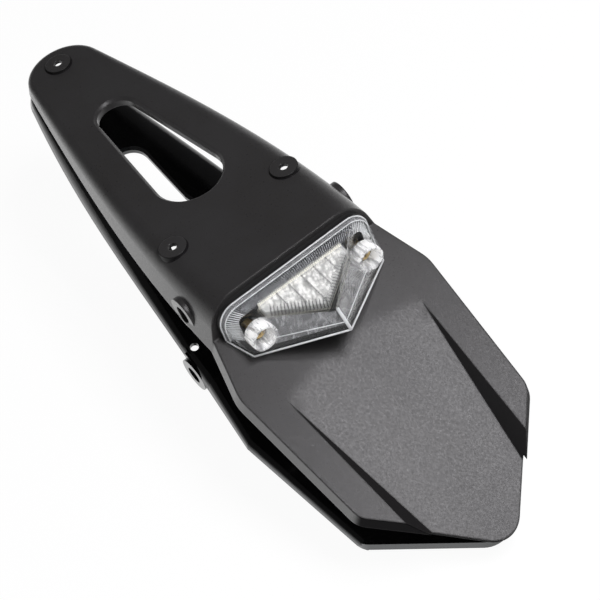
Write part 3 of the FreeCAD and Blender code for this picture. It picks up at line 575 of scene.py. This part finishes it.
# Pale sleeves in the screw towers, a painted highlight for the white of the clear tower walls, with painted
# glints that glow
tower = {"half": 37.3, "z": -18.8, "start": 71.3, "end": 79.8, "outer": 8.2, "inner": 6.5, "sides": 40,
         "streak": (330.0, 3.0, 0.6, (0.25, 1, 1)), "dark": (0.62, 0.63, 0.65), "light": (0.97, 0.97, 0.98),
         "rough": 0.1, "streakRough": 0.1, "cover": 0.35, "coverStep": (0.35, 0.6), "bump": (0.3, 0.0005),
         "glow": 0.42, "glowStep": (0.4, 0.62),
         "glowDark": (0.05, 0.05, 0.05), "glowLight": (1.0, 0.985, 0.96)}
sleeves = Form()
turns = [2 * math.pi * step / tower["sides"] for step in range(tower["sides"])]
corners = [("outer", "start"), ("outer", "end"), ("inner", "end"), ("inner", "start")]
for side in (-1, 1):
    loops = []
    for radius, x in ((tower[radius], tower[end]) for radius, end in corners):
        middle = Vector((x, side * tower["half"], tower["z"]))
        loops.append([middle + radius * Vector((0, math.cos(turn), math.sin(turn))) for turn in turns])
    sleeves.rings(loops, True)
paint = Paint("towerClear")
streak = paint.noise(*tower["streak"])
paintedGlint = paint.step(streak, *tower["glowStep"])
sleeves.make("towerSleeves", paint.set({
    "Base Color": paint.mix(streak, tower["dark"], tower["light"]),
    "Roughness": tower["rough"] + tower["streakRough"] * streak,
    "Alpha": tower["cover"] + (1 - tower["cover"]) * paint.step(streak, *tower["coverStep"]),
    # Painted glints: bright streaks of the sleeves give light, though they are no lamp
    "Emission Color": paint.mix(paintedGlint, tower["glowDark"], tower["glowLight"]),
    "Emission Strength": tower["glow"],
    "Normal": paint.bump(streak, *tower["bump"]),
}), "lens_clear")

# Faceted optic over each LED cell, with random heights, a painted sparkle in its colour and a painted glow
optic = {"level": 4.35, "cells": 6, "pitch": 8.6, "half": 4.0, "front": 2.1, "thick": 0.3,
         "side": 5.5, "tip": 24.5, "reach": 27.5,
         "across": 6, "facet": 1.35, "fewest": 3, "lift": 0.42, "seed": 7,
         "flake": 480.0, "flakeShare": 0.7, "cloud": (260.0, 4.0, 0.7), "sparkStep": (0.72, 1.02),
         "light": (1.0, 0.99, 0.97), "dark": (0.5, 0.495, 0.485), "rough": 0.06, "cloudRough": 0.12,
         "cover": 0.8, "cloudCover": 0.18, "bump": (0.5, 0.0006),
         "glow": 0.16, "glowLight": (1.0, 0.985, 0.955), "glowDark": (0.36, 0.355, 0.345)}
chance = random.Random(optic["seed"])


def onBoard(run, y, height):
    return lampForm["board"] + roofAlong * run + roofUp * height + Vector((0, y, 0))


def lowerEdge(form, y):
    # how far a form reaches down the board, most in the middle
    return form["tip"] - (form["tip"] - form["side"]) * abs(y) / form["reach"]


blocks = Form()
for cell in range(optic["cells"]):
    middle = (cell - (optic["cells"] - 1) / 2) * optic["pitch"]
    columns = [middle - optic["half"] + 2 * optic["half"] * step / optic["across"]
               for step in range(optic["across"] + 1)]
    longest = max(lowerEdge(optic, y) for y in columns) - optic["front"]
    rows = max(int(longest / optic["facet"]), optic["fewest"])
    lines = []
    for y in columns:
        end = lowerEdge(optic, y)
        line = []
        for row in range(rows + 1):
            run = optic["front"] + (end - optic["front"]) * row / rows
            edge = row in (0, rows) or y in (columns[0], columns[-1])
            lift = 0 if edge else chance.uniform(-optic["lift"], optic["lift"])
            line.append(onBoard(run, y, optic["level"] + lift))
        lines.append(line)
    blocks.sheet(lines, facets=True)
paint = Paint("opticClear")
flake = paint.cells(optic["flake"])
cloud = paint.noise(*optic["cloud"])
# Painted sparkle: colour and glow turn from white to grey by noise
paintedSparkle = paint.step(optic["flakeShare"] * flake + cloud, *optic["sparkStep"])
blocks.make("opticCells", paint.set({
    "Base Color": paint.mix(paintedSparkle, optic["light"], optic["dark"]),
    "Roughness": optic["rough"] + optic["cloudRough"] * cloud,
    "Alpha": optic["cover"] + optic["cloudCover"] * cloud,
    # Painted glow, though the optic is no lamp
    "Emission Color": paint.mix(paintedSparkle, optic["glowLight"], optic["glowDark"]),
    "Emission Strength": optic["glow"],
    "Normal": paint.bump(flake, *optic["bump"]),
}), "lens_clear", False, optic["thick"])

# Grey walls between the cells
walls = {"level": 3.6, "half": 0.4, "high": 1.2,
         "name": "cellWalls", "cloud": (400.0, 2.0, 0.6), "bump": (0.2, 0.0003),
         "dark": (0.08, 0.08, 0.08), "light": (0.22, 0.22, 0.22), "rough": 0.3, "cloudRough": 0.1}
bars = Form()
for place in range(optic["cells"] - 1):
    middle = (place + 1 - optic["cells"] / 2) * optic["pitch"]
    bars.block(onBoard(optic["front"], middle, walls["level"]),
               onBoard(lowerEdge(optic, middle), middle, walls["level"]),
               Vector((0, walls["half"], 0)), roofUp * walls["high"])
wallGrey = trimPaint(walls)
bars.make("cellWalls", wallGrey, "lens_clear", False)

# Comb on the slanted sides of the reflector
comb = {"side": 7.0, "tip": 27.0, "reach": 29.0, "teeth": 17, "first": 0.8, "pitch": 1.6,
        "level": 4.3, "foot": 0.6, "back": 3.0, "lean": 2.0, "kneeOut": 0.2, "footOut": 0.3,
        "across": (0.2, 0.3), "thick": 0.3}
teeth = Form()
for side in (-1, 1):
    across = Vector((comb["across"][0], -comb["across"][1] * side, 0))
    for step in range(comb["teeth"]):
        y = side * (comb["first"] + comb["pitch"] * step)
        run = lowerEdge(comb, y)
        head = onBoard(run - comb["back"], y - side * comb["lean"], comb["level"])
        knee = onBoard(run + comb["kneeOut"], y, comb["level"])
        foot = onBoard(run + comb["footOut"], y, comb["foot"])
        teeth.block(head, knee, across, roofUp * comb["thick"])
        teeth.block(knee, foot, across, roofAlong * comb["thick"])
teeth.make("opticComb", wallGrey, "lens_clear", False)

# Haze of the two slanted faces, just inside the lens wall
visor = {"inset": 2.45, "thick": 0.2, "columns": 8, "rows": 6,
         "start": 0.03, "wide": 0.77, "foot": 0.04, "high": 0.76,
         "streak": (330.0, 5.0, 0.7, (1, 1, 0.25)), "dark": (0.62, 0.62, 0.64), "light": (0.86, 0.86, 0.88),
         "rough": 0.3, "streakRough": 0.1, "cover": 0.03, "leftCover": 0.11, "leftStep": (0.004, -0.004),
         "streakCover": 0.3, "streakStep": (0.4, 0.7), "bump": (0.04, 0.0002)}
veil = Form()
for side in (-1, 1):
    facing = onSide(visorNormal, side)
    facing = facing if facing.x > 0 else -facing
    lines = []
    for column in range(visor["columns"] + 1):
        share = visor["start"] + visor["wide"] * column / visor["columns"]
        foot = tip.lerp(onSide(cornerPoint, side), share)
        head = apex.lerp(onSide(shoulder, side), share)
        heights = [visor["foot"] + visor["high"] * row / visor["rows"] for row in range(visor["rows"] + 1)]
        lines.append([foot.lerp(head, height) - facing * visor["inset"] for height in heights])
    veil.sheet(lines)
paint = Paint("visorHaze")
x, y, z = paint.parts(paint.place())
streak = paint.noise(*visor["streak"])
leftCover = visor["leftCover"] * paint.step(y, *visor["leftStep"])
veil.make("visorHaze", paint.set({
    "Base Color": paint.mix(streak, visor["dark"], visor["light"]),
    "Roughness": visor["rough"] + visor["streakRough"] * streak,
    "Alpha": visor["cover"] + leftCover + visor["streakCover"] * paint.step(streak, *visor["streakStep"]),
    "Normal": paint.bump(streak, *visor["bump"]),
}), "lens_clear", thick=visor["thick"])
print("lamp details done")

# Floor, white to the camera, in mirrors and through the lens, with a faint shadow
white = (1.0, 1.0, 1.0)
floor = {"half": 30.0, "glow": 0.9, "strength": 1.055, "rough": 0.9, "cloud": (3.0, 2.0, 0.5),
         "dark": (0.82, 0.82, 0.82), "light": (0.84, 0.84, 0.84)}
low = cadBox[0][2]
reach = floor["half"]
mesh = bpy.data.meshes.new("floor")
square = [(-reach, -reach, low), (reach, -reach, low), (reach, reach, low), (-reach, reach, low)]
mesh.from_pydata(square, [], [(0, 1, 2, 3)])
ground = bpy.data.objects.new("floor", mesh)
bpy.context.scene.collection.objects.link(ground)
paint = Paint("floorWhite")
cloud = paint.noise(*floor["cloud"])
paint.set({"Base Color": paint.mix(cloud, floor["dark"], floor["light"]), "Roughness": floor["rough"]})
paint.layer(paint.rays("Camera", "Glossy", "Transmission") * floor["glow"], "ShaderNodeEmission",
            {"Color": white, "Strength": floor["strength"]})
ground.data.materials.append(paint.material)
print("floor done")

# World, a pale sweep near the horizon and dim above, white to the camera and through the lens
sky = {"dim": 0.11, "sweep": 0.76, "sweepStep": (0.30, 0.16), "seen": 1.0}
paint = Paint("studio", True)
bpy.context.scene.world = paint.set({"Color": white, "Strength": sky["dim"]})
climb = paint.parts(paint.place("Generated"))[2]
paint.layer(paint.step(climb, *sky["sweepStep"]), "ShaderNodeBackground",
            {"Color": white, "Strength": sky["sweep"]})
paint.layer(paint.rays("Camera", "Transmission"), "ShaderNodeBackground",
            {"Color": white, "Strength": sky["seen"]})

# Soft box that faces straight down
softBox = {"spot": (0.70, 0.38, 1.2), "wide": 0.8, "deep": 0.42, "power": 15.8, "colour": (0.985, 0.97, 1.0)}
light = bpy.data.lights.new("overhead", "AREA")
light.shape = "RECTANGLE"
light.size = softBox["wide"]
light.size_y = softBox["deep"]
light.energy = softBox["power"]
light.color = softBox["colour"]
holder = bpy.data.objects.new("overhead", light)
bpy.context.scene.collection.objects.link(holder)
holder.location = softBox["spot"]
print("lamps done")

# Camera at the photograph's angle, shifted in metres along its own right, up and back
view = {"azimuth": -20.43, "elevation": 45.44, "roll": -21.8, "right": 0.0402, "up": -0.0521,
        "distance": 1.2194, "lens": 129.09, "sensor": 36.0}
azimuth, elevation, roll = (math.radians(view[name]) for name in ("azimuth", "elevation", "roll"))
back = Vector((math.cos(elevation) * math.cos(azimuth), math.cos(elevation) * math.sin(azimuth),
               math.sin(elevation)))
flat = Vector((0, 0, 1)).cross(back).normalized()
rise = back.cross(flat)
right = math.cos(roll) * flat + math.sin(roll) * rise
up = math.cos(roll) * rise - math.sin(roll) * flat
camera = bpy.data.objects.new("camera", bpy.data.cameras.new("camera"))
bpy.context.scene.collection.objects.link(camera)
camera.data.lens = view["lens"]
camera.data.sensor_width = view["sensor"]
spot = right * view["right"] + up * view["up"] + back * view["distance"]
turn = Matrix((right, up, back)).transposed()
camera.matrix_world = Matrix.Translation(spot) @ turn.to_4x4()
bpy.context.scene.camera = camera
bpy.context.scene.view_settings.view_transform = "Standard"
print("camera done")
